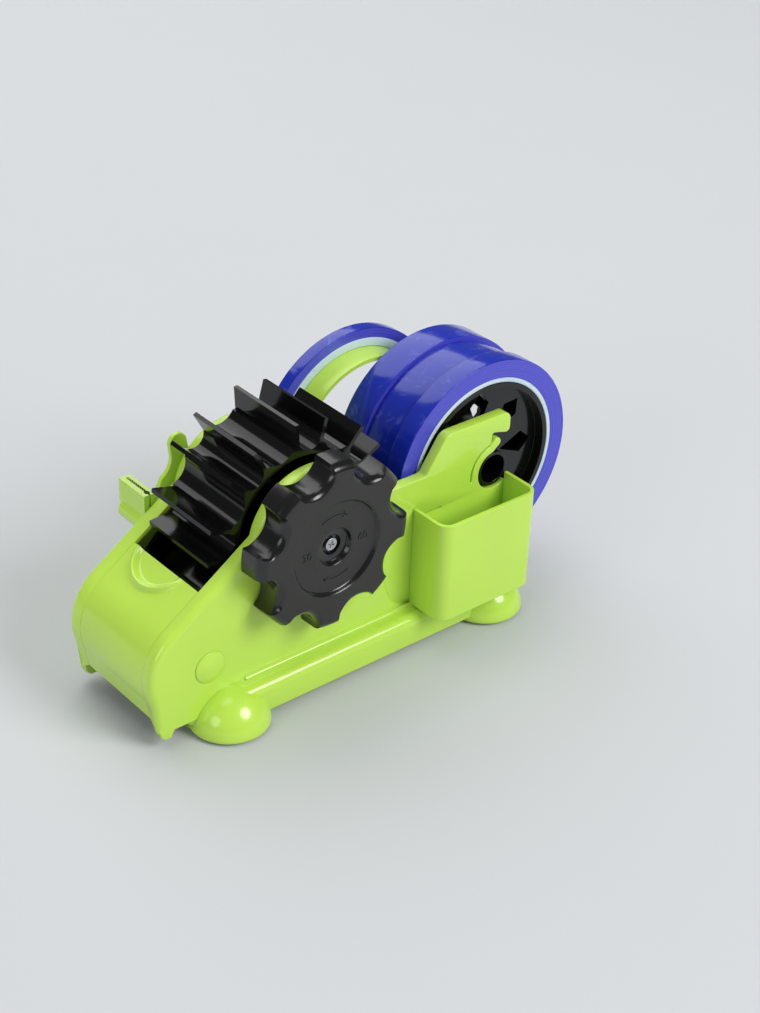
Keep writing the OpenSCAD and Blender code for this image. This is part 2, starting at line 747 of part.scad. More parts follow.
// ---------- side cutter ----------
module side_cutter() {
  color(green) placed() difference() {
    union() {
      translate([cutter_x - 3, shell_y + touch, cutter_z - 11]) cube([5.5, cutter_w - touch, 11]);
      slab(shell_y + touch, shell_y + cutter_w - 2) translate([cutter_x, cutter_z - 14]) circle(r = 5);
    }
    translate([cutter_x - 0.45, shell_y - 1, cutter_z - 7]) cube([0.9, cutter_w - 0.6, 8]);
    translate([cutter_x, shell_y + 2.4, cutter_z - 4]) cylinder(h = 6, r = 1.2);
  }
}
module side_blade() {
  tooth = 1.5;
  count = floor((cutter_w - 2) / tooth);
  color(steel) placed() translate([cutter_x + 0.3, shell_y + 0.6, cutter_z])
    rotate([90, 0, -90]) mirror([1, 0, 0]) linear_extrude(0.6) polygon(concat(
      [[0, -6.6], [0, -0.3]],
      [for (k = [0:count - 1], p = [0, 1]) [(k + (p + 1) / 2) * tooth, p == 0 ? 0.6 : -0.3]],
      [[count * tooth, -6.6]]));
}
module side_guide() {
  color(green) placed() slab(shell_y + touch, shell_y + 2.4) polygon(concat(
    arc(-25, 22.6, 4.4, 175, 0, 8),
    [[-18, 10], [-20, cutter_z - 11], [cutter_x + 7, cutter_z - 11]],
    [[cutter_x + 2.6, cutter_z - 7.5], [cutter_x + 2.6, cutter_z - 2]],
    arc(cutter_x + 1, 17, 10, -60, 0, 8)));
}
// ---------- pen box ----------
module box_plan(d) {
  // open-backed plan with rounded outer corners, moved inwards by d
  translate([box_x + d, -box_back - box_d + d]) difference() {
    square([box_l - 2 * d, box_d]);
    for (s = [0, 1]) translate([s * (box_l - 2 * d), 0]) mirror([s, 0]) difference() {
      translate([-eps, -eps]) square([corner_r - d, corner_r - d]);
      translate([corner_r - d, corner_r - d]) circle(r = corner_r - d);
    }
  }
}
module pen_box() {
  bottom = box_top - box_h;
  color(green) placed() {
    difference() {
      translate([0, 0, bottom]) linear_extrude(box_h) intersection() {
        box_plan(0);
        translate([0, -box_back - box_d]) square([400, box_d]);
      }
      translate([0, 0, bottom + box_wall]) linear_extrude(box_h) intersection() {
        box_plan(box_wall);
        translate([0, -box_back - box_d]) square([400, box_d - box_wall]);
      }
      // the back wall is cut low, so the plate shows above it
      translate([box_x + box_wall, -box_back - box_wall - 1, box_top - 18])
        cube([box_l - 2 * box_wall, box_wall + 2, 40]);
    }
    for (px = [box_x + 10, box_x + box_l - 12])
      ycyl(px, box_top - 26, peg_r, -box_back - 0.2, -plate_out + peg_l);
  }
}

base_tray();
foot_cups();
base_screws();
side_shell_near();
side_shell_far();
nose_cover();
rear_tie();
chassis();
drum_bushes();
rotor_bushes();
boss_cap_near();
boss_cap_far();
shaft_cap();
drum_shaft();
drum_wheel();
drum_pin();
knob();
knob_screw();
shaft_clip();
rotor_body();
rotor_shaft();
cutter_blades();
spool_axle();
hub_near();
hub_far();
core_near();
core_mid();
core_far();
tape_near();
tape_mid();
tape_far();
side_ring();
ring_screws();
side_core();
side_tape();
side_cutter();
side_blade();
side_guide();
pen_box();
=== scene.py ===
import json
import math

import bmesh
import bpy
import numpy as np
from bpy.props import FloatProperty, FloatVectorProperty, IntProperty, PointerProperty, StringProperty
from mathutils import Matrix, Vector
from mathutils.geometry import tessellate_polygon

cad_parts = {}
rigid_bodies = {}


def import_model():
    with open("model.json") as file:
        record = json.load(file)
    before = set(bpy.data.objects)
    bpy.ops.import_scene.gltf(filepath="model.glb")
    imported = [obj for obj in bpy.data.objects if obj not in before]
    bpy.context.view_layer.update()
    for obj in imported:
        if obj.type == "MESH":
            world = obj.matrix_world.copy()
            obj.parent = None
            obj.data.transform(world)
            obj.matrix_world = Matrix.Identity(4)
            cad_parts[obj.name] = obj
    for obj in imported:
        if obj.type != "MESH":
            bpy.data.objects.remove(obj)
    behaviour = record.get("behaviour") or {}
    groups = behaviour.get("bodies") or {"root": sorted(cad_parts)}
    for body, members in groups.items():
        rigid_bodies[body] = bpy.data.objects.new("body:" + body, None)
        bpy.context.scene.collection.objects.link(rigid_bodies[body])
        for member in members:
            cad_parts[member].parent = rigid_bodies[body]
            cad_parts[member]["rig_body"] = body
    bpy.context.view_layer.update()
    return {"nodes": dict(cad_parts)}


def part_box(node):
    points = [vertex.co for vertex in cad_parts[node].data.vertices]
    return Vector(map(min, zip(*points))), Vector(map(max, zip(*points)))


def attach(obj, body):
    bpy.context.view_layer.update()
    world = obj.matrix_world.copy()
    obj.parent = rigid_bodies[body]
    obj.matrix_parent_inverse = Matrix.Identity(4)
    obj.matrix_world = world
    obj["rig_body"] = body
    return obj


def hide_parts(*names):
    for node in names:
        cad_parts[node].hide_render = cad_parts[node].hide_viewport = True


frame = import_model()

bl_info = {
    "name": "Tape dispenser with finned drum",
    "version": (1, 0, 0),
    "blender": (4, 5, 0),
    "location": "3D View > Sidebar > Tape dispenser",
    "description": "Builds the mouldings, rolls and finishes of a knob-turned tape dispenser",
    "category": "Object",
}

NODES = frame["nodes"]
MM = 1000  # millimetres in a metre


def centre(node):
    """Middle of a CAD node's box, in metres."""
    low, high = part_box(node)
    return (np.array(low) + np.array(high)) / 2


# the cross pin sits exactly on the drum's axis: every size below is in millimetres from there
AXIS = centre("drum_pin")
ROTOR = (centre("rotor_shaft") - AXIS) * MM
SPOOL = (centre("spool_axle") - AXIS) * MM
SIDE = (centre("side_tape") - AXIS) * MM


def linear(code):
    """An sRGB hex colour as linear red, green and blue."""
    c = np.array([int(code[i:i + 2], 16) for i in (1, 3, 5)]) / 255
    return tuple(np.where(c <= 0.04045, c / 12.92, ((c + 0.055) / 1.055) ** 2.4))


def length(name, about, size):
    """A length property whose default is given in millimetres."""
    return FloatProperty(name=name, description=about, default=size / MM, unit="LENGTH", subtype="DISTANCE",
                         precision=4)


def colour(name, about, code):
    """A colour property whose default is an sRGB hex code."""
    return FloatVectorProperty(name=name, description=about, default=linear(code), subtype="COLOR", size=3,
                               min=0, max=1)


class DispenserShells(bpy.types.PropertyGroup):
    """Sizes of the green side shells and the nose."""
    shell_y: length("Half width", "Half width over the side shells", 30)
    slot_far: length("Slot far edge", "From the middle to the slot's far edge", 21.3)
    slot_near: length("Slot near edge", "From the middle to the slot's edge on the knob side", 23.6)
    slot_front: length("Slot front", "Distance of the slot's front end from the drum's axis", 53.4)
    wall: length("Wall", "Wall of the green mouldings", 2)
    edge_r: length("Long edge radius", "Rounding of the long edge between top and side", 3)
    nose_r: length("Nose radius", "Rounding of the nose", 26.5)
    cheek_r: length("Cheek radius", "Radius of the cheeks beside the drum", 29.5)
    low_top: length("Low top", "Top edge behind the drum, over the drum's axis", 4.5)
    slope: FloatProperty(name="Slope", description="Slope of the top", default=math.radians(34.5),
                         subtype="ANGLE")


class DispenserKnob(bpy.types.PropertyGroup):
    """Sizes of the hand knob."""
    tip_r: length("Tip radius", "Radius over the lobes at the back of the knob", 38.5)
    thick: length("Thickness", "Thickness of the knob", 13.5)
    flute_r: length("Flute radius", "Radius of the flutes between lobes", 10.5)
    flute_d: length("Flute depth", "Depth of the flutes", 7.6)
    tip_fillet: length("Tip fillet", "Rounding of a lobe towards the face", 4.5)
    dish_d: length("Dish depth", "Depth of the dish", 1.7)
    flute_fillet: length("Flute fillet", "Rounding of a flute towards the face", 4)
    dish_r: length("Dish radius", "Radius of the shallow dish in the face", 21.3)
    lobes: IntProperty(name="Lobes", description="Number of lobes", default=8, min=4, max=12)
    left_mark: StringProperty(name="Left number", description="Number moulded left of the screw",
                              default="30")
    right_mark: StringProperty(name="Right number", description="Number moulded right of the screw",
                               default="60")


class DispenserRolls(bpy.types.PropertyGroup):
    """Sizes of the tape rolls and their cores."""
    core_in: length("Core bore", "Inner radius of the cores", 38.1)
    core_t: length("Core wall", "Wall of the cores on the spool", 2.1)
    side_core_t: length("Side core wall", "Wall of the side roll's core", 4)
    full_r: length("Full roll", "Outer radius of the full rolls", 48.6)
    mid_r: length("Middle roll", "Outer radius of the part-used roll", 46.6)
    side_r: length("Side roll", "Outer radius of the side roll", 46.8)
    layer: length("Ridge pitch", "Distance between the ridges on a roll's side", 0.42)


class DispenserColours(bpy.types.PropertyGroup):
    """Colours of the finishes."""
    green: colour("Lime", "Gloss lime ABS", "#bfe652")
    black: colour("Black", "Gloss black ABS", "#0a0a0b")
    charcoal: colour("Charcoal", "Satin charcoal ABS", "#2a2a28")
    tape: colour("Tape", "Royal blue film", "#162ba6")
    core: colour("Core", "Natural polypropylene core", "#d3e2e8")
    floor: colour("Floor", "Pale backdrop", "#c8cacc")


GROUPS = (("shells", DispenserShells), ("knob", DispenserKnob), ("rolls", DispenserRolls),
          ("colours", DispenserColours))


def mm(value):
    """A length property in millimetres."""
    return value * MM


def ease(t):
    """Zero to one with level ends: three t squared less two t cubed."""
    return t * t * (3 - 2 * t)


# ---------------------------------------------------------------- outlines

def arc(cx, cz, r, a0, a1, n):
    """Points on a circle: centre plus radius times cosine and sine of an angle from a0 to a1 degrees."""
    a = np.radians(np.linspace(a0, a1, n + 1))
    return np.stack([cx + r * np.cos(a), cz + r * np.sin(a)], 1)


SAME = 1e-4  # points of an outline closer than this many millimetres are one
TIGHTEST = 0.35  # keeps the inset of a very sharp corner from running away


def tidy(outline):
    """The outline without repeated points, turning anticlockwise."""
    p = np.asarray(outline, float)
    p = p[np.hypot(*(np.roll(p, -1, 0) - p).T) > SAME]
    q = np.roll(p, -1, 0)
    return p if (p[:, 0] * q[:, 1] - q[:, 0] * p[:, 1]).sum() > 0 else p[::-1]


def inset(p, d):
    """The outline with every edge moved inwards by d: a corner moves along the sum of its two edge normals,
    divided by one plus their dot product."""
    e = np.roll(p, -1, 0) - p
    e /= np.hypot(*e.T)[:, None]
    n = np.stack([-e[:, 1], e[:, 0]], 1)
    m = n + np.roll(n, 1, 0)
    dot = (n * np.roll(n, 1, 0)).sum(1)
    return p + d * m / np.maximum(1 + dot, TIGHTEST)[:, None]


def placed(p, h, along="Y"):
    """Points of a flat outline, carried to h along one axis; its own axes are the other two, in order."""
    flat = np.full(len(p), h)
    order = {"X": (flat, p[:, 0], p[:, 1]), "Y": (p[:, 0], flat, p[:, 1]), "Z": (p[:, 0], p[:, 1], flat)}
    return np.stack(order[along], 1)


def soft_slab(outline, h0, h1, r, n=4, along="Y"):
    """An outline carried from h0 to h1, with both rims rounded by a quarter circle of radius r, negative for
    a hole: inset is r times one minus sine, and the height moves by r times one minus cosine."""
    p = tidy(outline)
    a = np.linspace(0, math.pi / 2, n + 1)
    d = r * (1 - np.sin(a))
    s = abs(r) * (1 - np.cos(a)) * (1 if h1 > h0 else -1)
    rings = [placed(inset(p, k), h0 + h, along) for k, h in zip(d, s)]
    rings += [placed(inset(p, k), h1 - h, along) for k, h in zip(d[::-1], s[::-1])]
    return np.array(rings)


def turned(profile, cx, c, n=160, along="Y"):
    """A profile of radius and height turned about an axis along Y or Z: the first coordinate is cx plus radius
    times cosine, the other is c plus radius times sine. The last ring closes on the first."""
    p = np.asarray(profile, float)
    t = np.linspace(0, 2 * math.pi, n, endpoint=False)
    one, two, high = cx + p[:, :1] * np.cos(t), c + p[:, :1] * np.sin(t), np.repeat(p[:, 1:], n, 1)
    rings = np.stack([one, high, two] if along == "Y" else [one, two, high], -1)
    return np.concatenate([rings, rings[:1]])


# ---------------------------------------------------------------- meshes

MERGE = 2e-7  # metres: points of a new piece closer than this are one
SHORTEST = 1e-7  # metres: shorter edges are taken out
CAD_MERGE = 1e-6  # metres: the same for a CAD node's mesh and for the numbers
FLAT = 0.6  # degrees: faces that meet flatter than this are one
ROUNDED_OVER = 32  # degrees: edges sharper than this are rounded
ROUND_STEPS = 3

def strips(rings, first=0):
    """Quads between each ring of points and the next; every ring closes on itself."""
    k, n = rings.shape[:2]
    i = np.arange((k - 1) * n).reshape(k - 1, n) + first
    j = np.roll(i, -1, 1)
    return np.stack([i, j, j + n, i + n], -1).reshape(-1, 4)


def body(rings, holes=(), caps=True):
    """One closed body: its outer rings, the rings of its holes, and whether its flat ends are filled."""
    return [np.asarray(rings)] + [np.asarray(h) for h in holes], caps


def filled(bodies):
    """Points, faces and smooth flags of several bodies: quads along the rings, and ends filled with triangles
    between the outline and its holes."""
    points, faces, smooth, first = [], [], [], 0
    for groups, caps in bodies:
        starts = []
        for g in groups:
            quads = strips(g, first)
            points.append(g.reshape(-1, 3))
            faces += quads.tolist()
            smooth += [True] * len(quads)
            starts.append((first, g))
            first += g[..., 0].size
        for end in ((0, -1) if caps else ()):
            loops = [g[end].tolist() for _, g in starts]
            index = np.concatenate([at + np.arange(g[..., 0].size).reshape(g.shape[:2])[end]
                                    for at, g in starts])
            corners = index[np.array(tessellate_polygon(loops))]
            faces += corners.tolist()
            smooth += [False] * len(corners)
    return np.concatenate(points), faces, smooth


def piece(name, bodies, rides, materials, replaces=(), sharp=40, pick=None, mirrored=False):
    """Makes an object of the bodies at the origin, with its materials and CAD body. Doubles are merged
    and every face is turned outwards. Edges over sharp degrees stay sharp, and pick sorts faces into materials
    by their centres and normals."""
    points, faces, smooth = filled(bodies)
    if mirrored:
        points = points * (1, -1, 1)
    mesh = bpy.data.meshes.new(name)
    mesh.from_pydata((points / MM + AXIS).tolist(), [], faces)
    mesh.polygons.foreach_set("use_smooth", smooth)
    bm = bmesh.new()
    bm.from_mesh(mesh)
    bmesh.ops.remove_doubles(bm, verts=bm.verts, dist=MERGE)
    bmesh.ops.dissolve_degenerate(bm, dist=SHORTEST, edges=bm.edges)
    bmesh.ops.recalc_face_normals(bm, faces=bm.faces)
    bm.to_mesh(mesh)
    bm.free()
    finished(name, mesh, rides, materials, replaces, sharp, pick)


def finished(name, mesh, rides, materials, replaces=(), sharp=40, pick=None):
    """Gives a mesh its materials and sharp edges, and makes it an object that rides on a CAD body."""
    for m in materials:
        mesh.materials.append(m)
    if pick is not None:
        n = len(mesh.polygons)
        c = np.zeros(n * 3)
        v = np.zeros(n * 3)
        mesh.polygons.foreach_get("center", c)
        mesh.polygons.foreach_get("normal", v)
        c = (c.reshape(-1, 3) - AXIS) * MM
        mesh.polygons.foreach_set("material_index", pick(c, v.reshape(-1, 3)).astype(np.int32))
    mesh.set_sharp_from_angle(angle=math.radians(sharp))
    obj = bpy.data.objects.new(name, mesh)
    bpy.context.scene.collection.objects.link(obj)
    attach(obj, rides)
    if replaces:
        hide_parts(*replaces)
    return obj


def softened(node, width, material):
    """A merged copy of a CAD node whose sharp edges are rounded by width millimetres."""
    bm = bmesh.new()
    bm.from_mesh(NODES[node].data)
    bmesh.ops.remove_doubles(bm, verts=bm.verts, dist=CAD_MERGE)
    bmesh.ops.dissolve_limit(bm, angle_limit=math.radians(FLAT), verts=bm.verts, edges=bm.edges)
    mesh = bpy.data.meshes.new(node + "_soft")
    bm.to_mesh(mesh)
    bm.free()
    custom = mesh.attributes.get("custom_normal")
    if custom is not None:
        mesh.attributes.remove(custom)
    mesh.polygons.foreach_set("use_smooth", [True] * len(mesh.polygons))
    obj = finished(node + "_soft", mesh, NODES[node]["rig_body"], [material], (node,), sharp=180)
    rounding = obj.modifiers.new("Rounded edges", "BEVEL")
    rounding.width = width / MM
    rounding.segments = ROUND_STEPS
    rounding.limit_method = "ANGLE"
    rounding.angle_limit = math.radians(ROUNDED_OVER)
    rounding.harden_normals = True


# ---------------------------------------------------------------- finishes

CLOUD = 30  # width of the clouds of colour in a moulding, in millimetres
METAL_CLOUD = 4
PEEL = 4  # orange peel is this many times as wide as the grain
DUSK = 0.8  # the darker tone of bare metal
USED = (0.3, 0.7)  # the part of a noise's range that drives a value

def add(tree, kind, values=None, links=None, **settings):
    """One node with its settings, socket values and links."""
    node = tree.nodes.new(kind)
    for key, value in settings.items():
        setattr(node, key, value)
    for key, value in (values or {}).items():
        node.inputs[key].default_value = value
    for key, source in (links or {}).items():
        tree.links.new(source, node.inputs[key])
    return node


def blank(name):
    """A new material, its emptied tree and its Object coordinates."""
    material = bpy.data.materials.new(name)
    material.use_nodes = True
    tree = material.node_tree
    tree.nodes.clear()
    place = add(tree, "ShaderNodeTexCoord").outputs["Object"]
    return material, tree, place


def noise(tree, place, width, detail, **more):
    """A noise whose features are about as wide as given, in millimetres."""
    values = {"Scale": MM / width, "Detail": detail, **more}
    return add(tree, "ShaderNodeTexNoise", values, {"Vector": place}).outputs["Fac"]


def noise_lines(tree, place, width, detail):
    """A noise along one coordinate only: lines or rings at about that width."""
    return add(tree, "ShaderNodeTexNoise", {"Scale": MM / width, "Detail": detail}, {"W": place},
               noise_dimensions="1D").outputs["Fac"]


def remap(tree, source, low, high, used=USED):
    """A value between the two of used, carried to low up to high."""
    return add(tree, "ShaderNodeMapRange",
               {"From Min": used[0], "From Max": used[1], "To Min": low, "To Max": high},
               {"Value": source}).outputs["Result"]


def blend(tree, factor, first, second):
    """A colour between the first and the second."""
    mix = add(tree, "ShaderNodeMix", None, {"Factor": factor}, data_type="RGBA")
    mix.inputs[6].default_value = (*first, 1)
    mix.inputs[7].default_value = (*second, 1)
    return mix.outputs[2]


def relief(tree, height, strength, depth):
    """A bump whose depth is given in millimetres."""
    return add(tree, "ShaderNodeBump", {"Strength": strength, "Distance": depth / MM},
               {"Height": height}).outputs["Normal"]


def shade(tree, values, links):
    """The principled surface and the material's output."""
    bsdf = add(tree, "ShaderNodeBsdfPrincipled", values, links)
    add(tree, "ShaderNodeOutputMaterial", None, {"Surface": bsdf.outputs["BSDF"]})


def moulded(name, base, tint, spread, roughness, grain, depth, coat=0.0, ior=1.53, glow=0.0, level=0.5):
    """Injection-moulded plastic. Soft clouds a few centimetres wide shift the colour between base and tint, a
    fine grain drives the roughness between two values, and a shallow orange-peel relief breaks up the
    reflections. Grain and depth are in millimetres."""
    material, tree, place = blank(name)
    tone = blend(tree, remap(tree, noise(tree, place, CLOUD, 2.0), 0.0, spread, (0.35, 0.65)), base, tint)
    rough = remap(tree, noise(tree, place, grain, 3.0), *roughness)
    peel = relief(tree, noise(tree, place, grain * PEEL, 1.0), 0.25, depth)
    shade(tree, {"IOR": ior, "Coat Weight": coat, "Coat Roughness": 0.06, "Specular IOR Level": level,
                 "Subsurface Weight": glow, "Subsurface Radius": (1.0, 1.0, 0.4), "Subsurface Scale": 0.003},
          {"Base Color": tone, "Roughness": rough, "Normal": peel})
    return material


def turned_metal(name, base, roughness, pitch, axis):
    """Bare metal with fine cutting marks across one axis, at a pitch in millimetres coarse enough to show."""
    material, tree, place = blank(name)
    split = add(tree, "ShaderNodeSeparateXYZ", None, {"Vector": place})
    marks = noise_lines(tree, split.outputs[axis], pitch, 2.0)
    tone = blend(tree, noise(tree, place, METAL_CLOUD, 2.0), base, [c * DUSK for c in base])
    shade(tree, {"Metallic": 1.0}, {"Base Color": tone, "Roughness": remap(tree, marks, *roughness),
                                    "Normal": relief(tree, marks, 0.2, 0.04)})
    return material


def wound_film(name, base, light, axis, pitch=None):
    """Wound polypropylene tape. The face is a tight glossy film with faint lilac patches laid at random: painted
    sheen in the colour of the film's reflections. With a pitch in millimetres it is the roll's side instead,
    which shows the edges of the layers as fine rings about the roll's axis, lighter and duller."""
    material, tree, place = blank(name)
    about = add(tree, "ShaderNodeMapping", {"Location": tuple(-(AXIS + np.array(axis) / MM))}, {"Vector": place})
    split = add(tree, "ShaderNodeSeparateXYZ", None, {"Vector": about.outputs["Vector"]})
    flat = add(tree, "ShaderNodeCombineXYZ", None, {"X": split.outputs["X"], "Y": split.outputs["Z"]})
    radius = add(tree, "ShaderNodeVectorMath", None, {0: flat.outputs["Vector"]}, operation="LENGTH")
    if pitch:
        height = noise_lines(tree, radius.outputs["Value"], pitch, 3.0)
        factor, rough, depth = remap(tree, height, 0.0, 1.0), (0.22, 0.42), 0.08
    else:
        height = noise(tree, place, 9, 6.0, Roughness=0.62, Distortion=1.2)
        # the face's lighter lilac patches, at random: painted sheen
        factor, rough, depth = remap(tree, height, 0.0, 0.5, (0.56, 0.75)), (0.1, 0.26), 0.06
    shade(tree, {"IOR": 1.49, "Coat Weight": 0.25, "Coat Roughness": 0.06},
          {"Base Color": blend(tree, factor, base, light), "Roughness": remap(tree, height, *rough),
           "Normal": relief(tree, height, 0.35, depth)})
    return material


FINISH = {}


def finish(key):
    """The finish of that name, made the first time that a piece asks for it."""
    if key in FINISH:
        return FINISH[key]
    c = bpy.context.scene.dispenser_colours
    green, black, charcoal = tuple(c.green), tuple(c.black), tuple(c.charcoal)
    if key == "green":
        # gloss ABS moulding: bright, slightly milky lime with a tight highlight
        made = moulded("abs_lime_gloss_moulded", green, tuple(v * 0.93 for v in green), 0.5, (0.16, 0.26), 0.6,
                       0.03, coat=0.3)
    elif key == "black":
        # gloss ABS moulding: near black, so that only reflections give it shape
        made = moulded("abs_black_gloss_moulded", black, linear("#101012"), 0.7, (0.1, 0.18), 0.5, 0.012,
                       coat=0.1, level=0.35)
    elif key == "charcoal":
        # spark-eroded mould face: an even satin that catches the light as flat dark grey
        made = moulded("abs_charcoal_satin_moulded", charcoal, linear("#262624"), 0.8, (0.42, 0.55), 0.35,
                       0.05, level=0.4)
    elif key == "knob_side":
        # the same plastic drawn smooth on the knob's sides: darker, with long soft highlights; also laid on the
        # flat floor of the screw's well as painted shade
        made = moulded("abs_charcoal_smooth_moulded", linear("#101011"), linear("#171717"), 0.8, (0.18, 0.27),
                       0.5, 0.02, coat=0.2)
    elif key == "acetal":
        # machined natural acetal bushes: waxy off-white
        made = moulded("acetal_natural_turned", linear("#e6e4dc"), linear("#d8d5ca"), 0.7, (0.35, 0.5), 0.4,
                       0.02, glow=0.1)
    elif key == "rubber":
        # moulded rubber: black, dull and slightly grainy
        made = moulded("rubber_black_moulded", linear("#1c1c1c"), linear("#262524"), 0.8, (0.7, 0.85), 0.5, 0.1,
                       ior=1.5)
    elif key == "core":
        # extruded polypropylene tube: milky white that lets some light through its wall
        made = moulded("polypropylene_core_extruded", tuple(c.core), linear("#bfd6e2"), 0.8, (0.25, 0.4), 0.8,
                       0.03, ior=1.49, glow=0.5)
    elif key == "steel":
        # zinc-plated turned steel: bright with faint turning marks
        made = turned_metal("steel_zinc_turned", linear("#c9cbce"), (0.22, 0.38), 0.25, "Y")
    elif key == "blade":
        # ground blade steel: cool, with grinding marks along the blade
        made = turned_metal("steel_blade_ground", linear("#d2d5d8"), (0.15, 0.3), 0.2, "X")
    FINISH[key] = made
    return made


# ---------------------------------------------------------------- the green side shells

SLOPE_X, SLOPE_Z = 45, 4.5  # the sloping top passes this far in front of the drum's axis and below it
NOSE_AHEAD = 1.9  # the nose rounding stands this far in front of the rotor's axis
NOSE_FOOT = -66.5
NOSE_FOOT_SHARE = 0.87  # the nose's foot is this share of its radius in front of its centre
LEDGE = -57.0
DOME_X, DOME_Z, DOME_R = -43.5, -74.0, 17.5
REAR_X = 97.0  # the rear domes
STEP_X, STEP_R = 58.0, 18.0
TOP_END = 40  # where the level top ends, behind the drum's axis
FLANGE_END = 23.4  # depth of the top's rear end
FOOT_LIFT = (5, 2.5)  # how much higher the flange ends than the side wall, at the foot and above it
NECK_R, CAP_HOLE = 11, 4.2
SEAT_R, FINGER_IN, FINGER_OUT = 9.2, 12.9, 13.8  # seat of the axle and both sides of the snap finger
SEAT_LEAN = 25  # degrees: the way out of the seat
PLATE_OUT, PLATE_IN = 1.6, 6.8  # faces of the hook plate, in from the shell's outer face

def line_distance(s):
    """Distance of the sloping top from the drum's axis."""
    return SLOPE_X * math.sin(s.slope) - SLOPE_Z * math.cos(s.slope)


def nose_centre(s):
    """Centre of the nose rounding, which touches the slope."""
    x = ROTOR[0] - NOSE_AHEAD
    z = (line_distance(s) - mm(s.nose_r) + math.sin(s.slope) * x) / math.cos(s.slope)
    return x, z


def top_path(s, d):
    """The upper edge moved inwards by d: foot of the nose, nose circle, straight slope, cheek circle and level
    top."""
    nx, nz = nose_centre(s)
    slope = math.degrees(s.slope)
    nose_r, cheek_r = mm(s.nose_r), mm(s.cheek_r)
    meet = slope + 90 + math.degrees(math.acos((line_distance(s) - d) / (cheek_r - d)))
    leave = math.degrees(math.asin((mm(s.low_top) - d) / (cheek_r - d)))
    nose = arc(nx, nz, nose_r - d, 200, slope + 90, 30)
    cheek = arc(0, 0, cheek_r - d, meet, leave, 60)
    slope_points = nose[-1] + (cheek[0] - nose[-1]) * np.linspace(0, 1, 14)[1:-1, None]
    foot = np.array([[nx - nose_r * NOSE_FOOT_SHARE + d, NOSE_FOOT]])
    end = np.array([[32.0, mm(s.low_top) - d], [32.01, mm(s.low_top) - d], [TOP_END - d, mm(s.low_top) - d]])
    return np.concatenate([foot, foot + (nose[0] - foot) * 0.5, nose, slope_points, cheek, end])


def shell_ring(s, d, y):
    """One ring of the shell: the upper edge at inset d and depth y, then the step, the ledge line and the arc
    round the dome, which never reach further in than the skin's inner face."""
    top = top_path(s, d)
    skin = mm(s.shell_y) - mm(s.wall)
    bend = math.degrees(math.asin(STEP_R / (STEP_R + d)))
    step = arc(STEP_X, LEDGE + STEP_R, STEP_R + d, 180, 180 + bend, 14)
    r = DOME_R + 0.1
    dome = arc(DOME_X, DOME_Z, r, 180 - math.degrees(math.asin((LEDGE - DOME_Z) / r)),
               180 - math.degrees(math.asin((NOSE_FOOT - DOME_Z) / r)), 12)
    low = np.concatenate([[top[-1]], step, dome, [top[0]]])
    if y < skin - 0.5:
        top[:2, 1] += FOOT_LIFT
    y_top = np.full(len(top), y)
    y_top[-2:] = max(y, FLANGE_END)
    return np.concatenate([np.stack([top[:, 0], y_top, top[:, 1]], 1), placed(low, max(y, skin))])


def skin_rings(s, f):
    """The shell's section from the outer face round the long edge and back under the flange, which ends f from
    the middle: inset and depth of a quarter circle, the flat flange, its small lip and its inner side."""
    y, w, r = mm(s.shell_y), mm(s.wall), mm(s.edge_r)
    a = np.linspace(0, math.pi / 2, 9)
    b = np.linspace(0, math.pi / 2, 4)
    lip = 0.2
    path = [(r * (1 - math.sin(t)), y - r + r * math.cos(t)) for t in a]
    path += [(lip * (1 - math.cos(t)), f + lip - lip * math.sin(t)) for t in b]
    path += [(w - lip, f), (w, f + lip), (w, y - w)]
    return np.array([shell_ring(s, d, h) for d, h in path])


def hook_outline():
    """The hook plate, with the slit, the snap finger and the seat in one outline of lines and arcs."""
    sx, sz = SPOOL[0], SPOOL[2]
    top = sz + 26.6
    beak = sx + 7
    lean = np.radians(SEAT_LEAN)
    out = np.array([math.cos(lean), math.sin(lean)])
    seat_end = np.array([sx, sz]) + SEAT_R * np.array([math.sin(lean), -math.cos(lean)])
    return np.concatenate([
        [[28, LEDGE], [28, 4.5], [58, 4.5]], arc(58, 8.5, 4, 278, 305, 4),
        arc(sx - 25.5, top - 6, 6, 140, 90, 8), arc(beak - 3.2, top - 4, 4, 85, 0, 8),
        arc(beak - 1.4, top - 7.6, 2.2, 0, -90, 6), arc(sx - 1.2, sz + 16.2, 2.4, 70, 120, 5),
        arc(sx, sz, FINGER_OUT, 102, 185, 20), arc(sx - 13.3, sz - 1.7, 0.45, 200, 330, 4),
        arc(sx, sz, FINGER_IN, 184, 106, 20),
        arc(sx + 0.6, sz + 13.4, 2.2, 150, -75, 12), arc(sx, sz, SEAT_R, 98, 295, 36),
        [seat_end + 2.2 * out, seat_end + 2.8 * out - [-0.6, 0.8]],
        arc(107, sz - 14.2, 5, 88, 0, 8), [[112, LEDGE]]])


